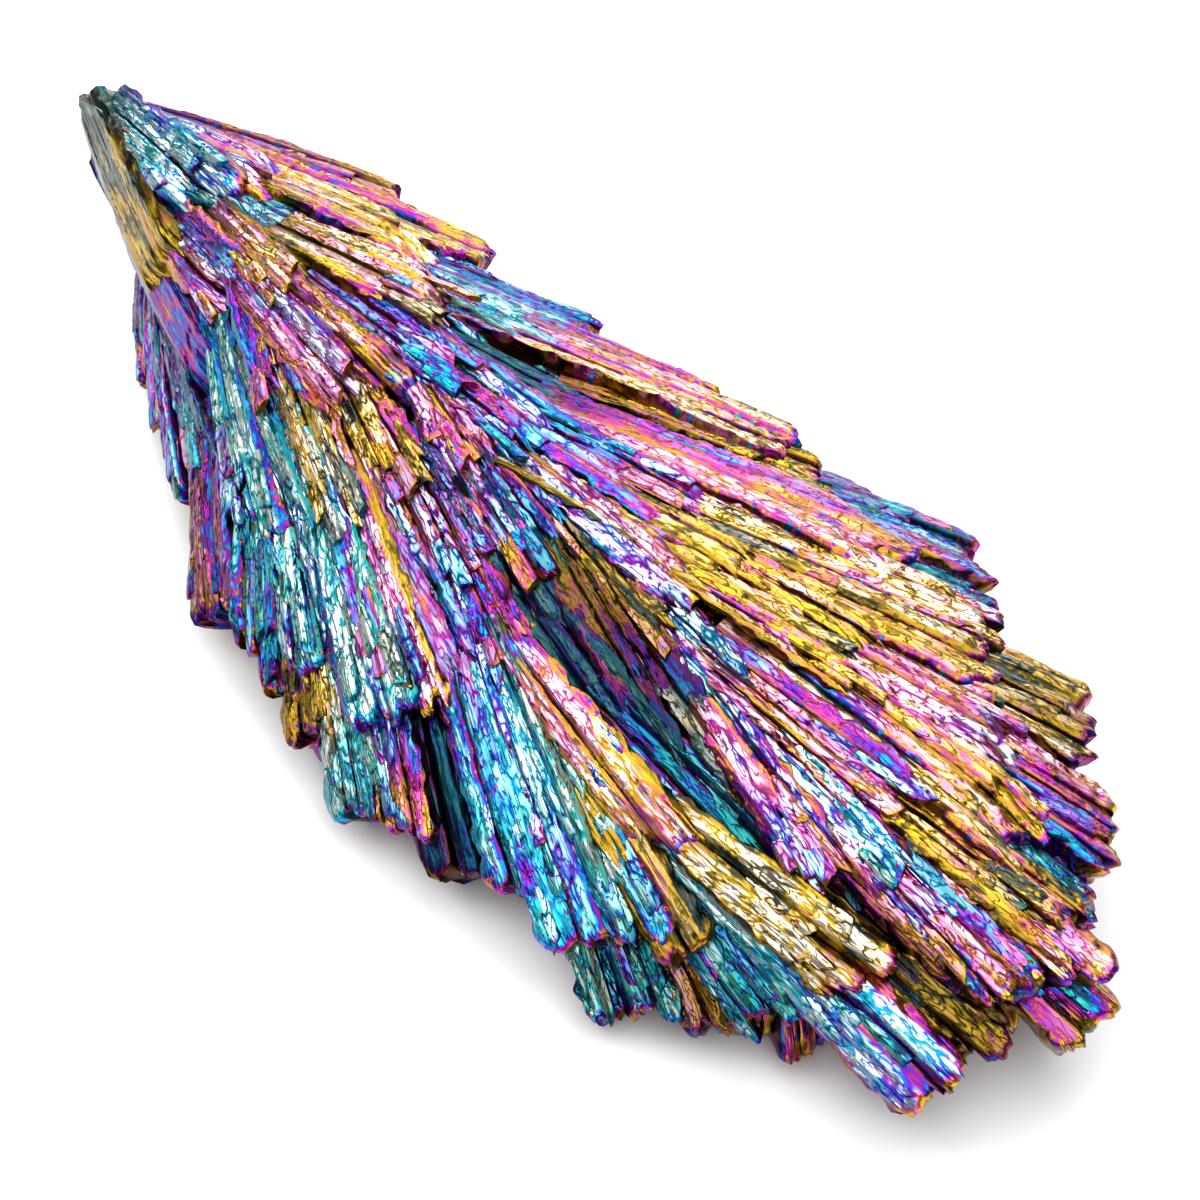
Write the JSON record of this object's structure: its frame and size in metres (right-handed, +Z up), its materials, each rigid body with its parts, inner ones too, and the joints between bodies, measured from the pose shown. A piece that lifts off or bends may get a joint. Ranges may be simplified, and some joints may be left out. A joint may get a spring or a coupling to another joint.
{
  "type": "mineral specimen",
  "caption": "Fan of flat metallic mineral blades grown together from one narrow end, rainbow-coated, lying on a flat broken underside; a display piece or desk ornament.",
  "frame": {"origin": "on the flat broken underside, on the table, below the middle of the fan", "axes": "+X along the fan from the narrow tip to the ragged wide end; +Y towards the shorter flank, whose rim is higher; +Z up"},
  "size_m": [0.0912, 0.0395, 0.0158],
  "materials": {
    "aura_coat": "thin iridescent metal film over striated dark kyanite: gold, magenta, violet, blue, teal"
  },
  "bodies": {
    "root": {"kyanite_fan": "aura_coat"}
  },
  "joints": []
}
